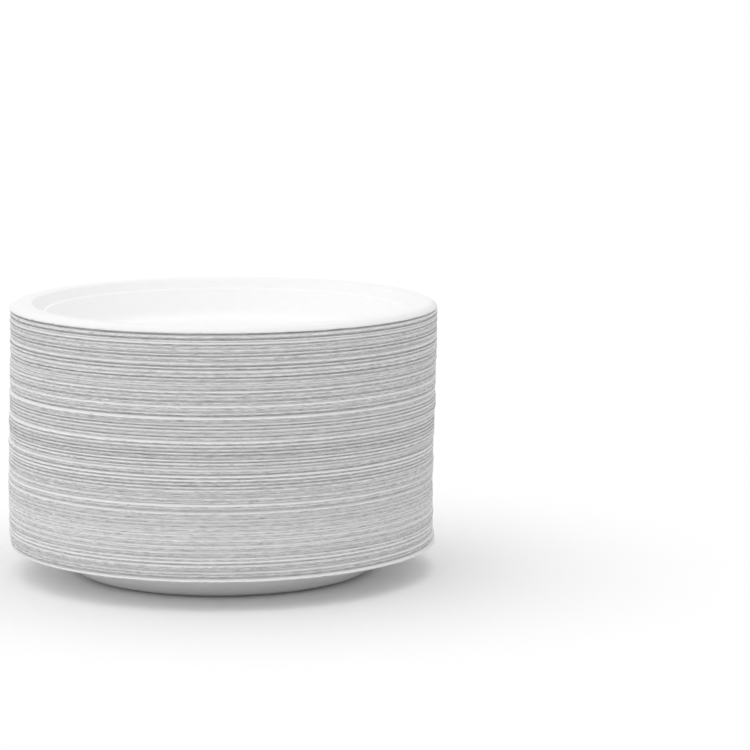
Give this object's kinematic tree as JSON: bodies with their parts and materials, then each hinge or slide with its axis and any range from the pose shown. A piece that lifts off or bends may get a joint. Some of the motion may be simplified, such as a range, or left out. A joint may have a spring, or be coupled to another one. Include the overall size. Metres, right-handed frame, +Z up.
{
  "type": "stack of paper plates",
  "caption": "A tall stack of round white moulded-fibre plates, nested right way up, each with a flat floor, a sloping side, a narrow ledge and a brim with a turned-down lip.",
  "frame": {"origin": "centre of the lowest plate's foot, on the surface that the stack stands on", "axes": "+Z is up along the axis of the stack, +X is to the right and -Y is towards the viewer"},
  "size_m": [0.231, 0.2293, 0.1457],
  "materials": {
    "moulded_fibre": "pressed from wet pulp: off-white, matt, with fine fibres on top and the fine net of the mould below, and a rough die-cut edge"
  },
  "bodies": {
    "root": {"plate_001": "moulded_fibre", "plate_002": "moulded_fibre", "plate_003": "moulded_fibre", "plate_004": "moulded_fibre", "plate_005": "moulded_fibre", "plate_006": "moulded_fibre", "plate_007": "moulded_fibre", "plate_008": "moulded_fibre", "plate_108": "moulded_fibre", "plate_109": "moulded_fibre", "plate_110": "moulded_fibre", "plate_111": "moulded_fibre", "plate_112": "moulded_fibre", "plate_113": "moulded_fibre", "plate_114": "moulded_fibre", "plate_115": "moulded_fibre", "plate_116": "moulded_fibre", "plate_117": "moulded_fibre", "plate_118": "moulded_fibre", "plate_119": "moulded_fibre", "plate_120": "moulded_fibre", "plate_121": "moulded_fibre", "plate_122": "moulded_fibre", "plate_123": "moulded_fibre", "plate_124": "moulded_fibre", "plate_125": "moulded_fibre", "plates_009_011": "moulded_fibre", "plates_012_014": "moulded_fibre", "plates_015_017": "moulded_fibre", "plates_018_020": "moulded_fibre", "plates_021_023": "moulded_fibre", "plates_024_026": "moulded_fibre", "plates_027_029": "moulded_fibre", "plates_030_032": "moulded_fibre", "plates_033_035": "moulded_fibre", "plates_036_038": "moulded_fibre", "plates_039_041": "moulded_fibre", "plates_042_044": "moulded_fibre", "plates_045_047": "moulded_fibre", "plates_048_050": "moulded_fibre", "plates_051_053": "moulded_fibre", "plates_054_056": "moulded_fibre", "plates_057_059": "moulded_fibre", "plates_060_062": "moulded_fibre", "plates_063_065": "moulded_fibre", "plates_066_068": "moulded_fibre", "plates_069_071": "moulded_fibre", "plates_072_074": "moulded_fibre", "plates_075_077": "moulded_fibre", "plates_078_080": "moulded_fibre", "plates_081_083": "moulded_fibre", "plates_084_086": "moulded_fibre", "plates_087_089": "moulded_fibre", "plates_090_092": "moulded_fibre", "plates_093_095": "moulded_fibre", "plates_096_098": "moulded_fibre", "plates_099_101": "moulded_fibre", "plates_102_104": "moulded_fibre", "plates_105_107": "moulded_fibre"}
  },
  "joints": []
}
